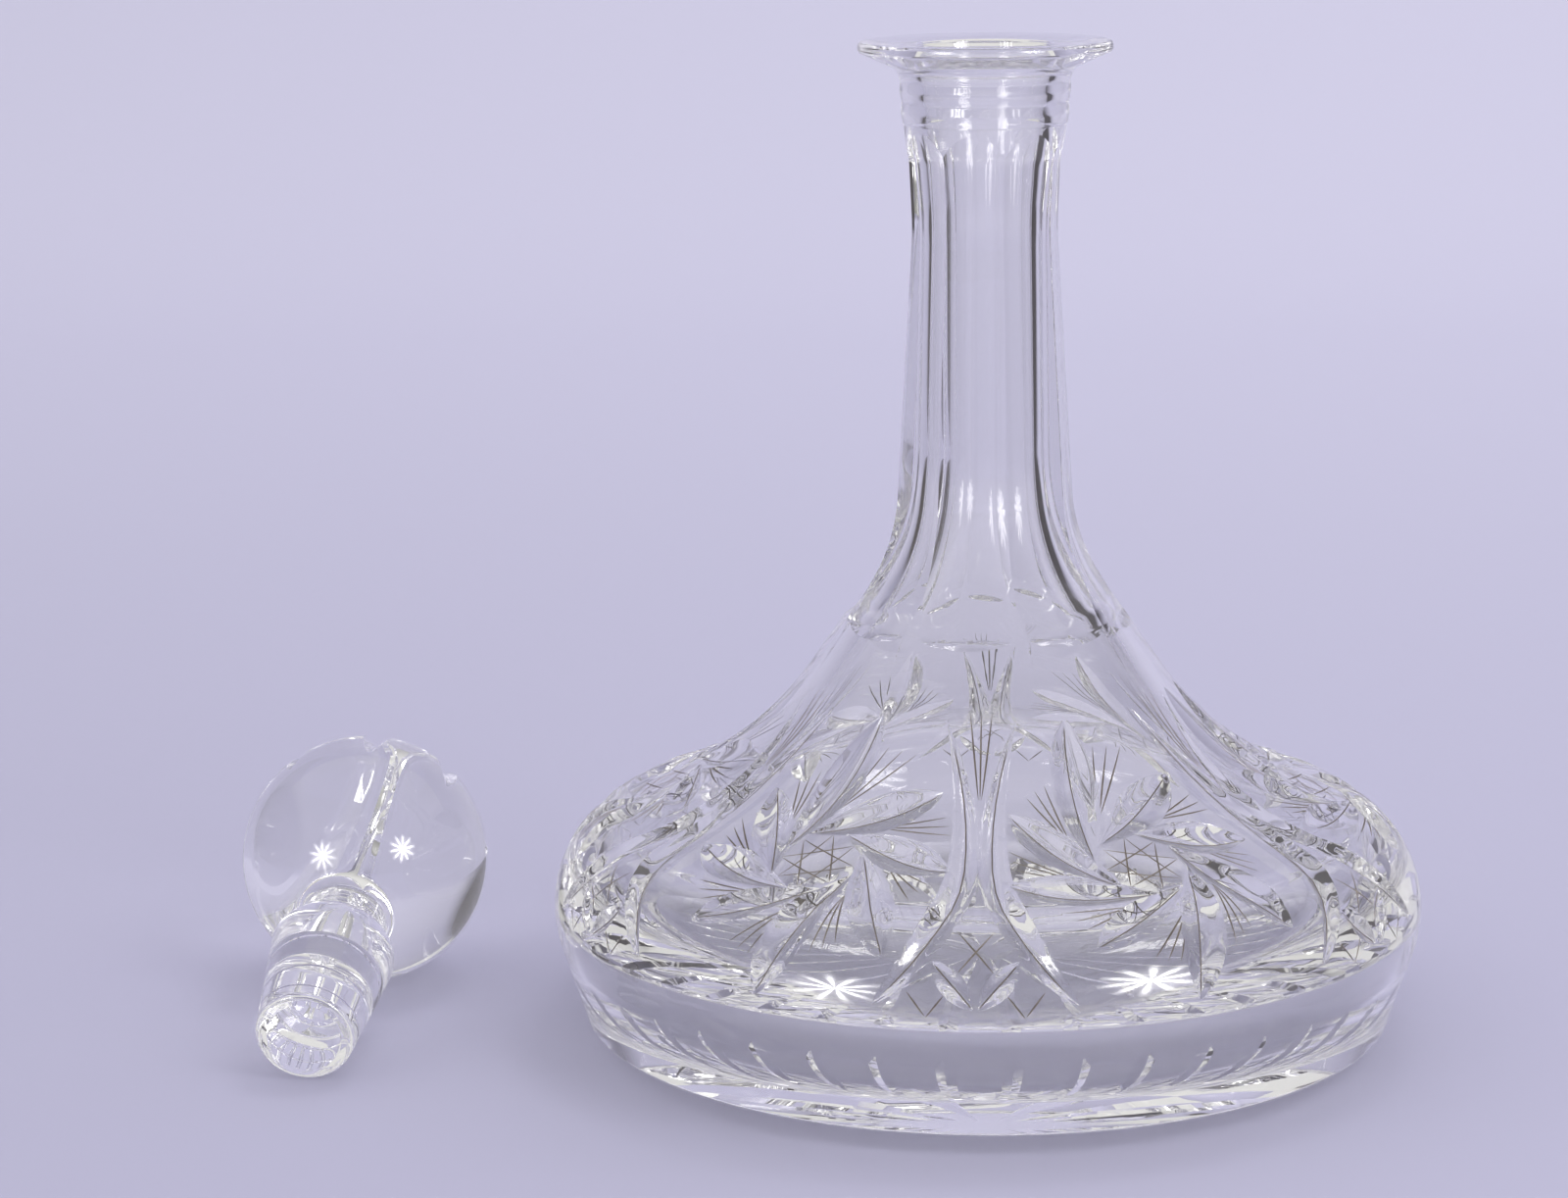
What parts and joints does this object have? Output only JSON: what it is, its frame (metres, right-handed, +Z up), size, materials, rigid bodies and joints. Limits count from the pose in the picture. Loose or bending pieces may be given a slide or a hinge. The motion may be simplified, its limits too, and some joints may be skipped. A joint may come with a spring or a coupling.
{
  "type": "ship's decanter",
  "caption": "Broad-based ship's decanter of clear cut glass with a slender fluted neck and flat lip, and its ball stopper lying beside it.",
  "frame": {"origin": "middle of the decanter's foot, on the table", "axes": "+Z up the decanter's neck; -Y towards the viewer; the stopper lies on the -X side with its peg towards -Y"},
  "size_m": [0.2793, 0.2, 0.2264],
  "materials": {
    "crystal": "polished clear lead crystal, wheel-cut"
  },
  "bodies": {
    "decanter": {"decanter": "crystal"},
    "stopper": {"stopper": "crystal"}
  },
  "joints": [
    {"name": "stopper_lift", "type": "slide", "parent": "decanter", "child": "stopper", "axis": [0, 0, 1], "range_m": [0, 0.25]}
  ]
}
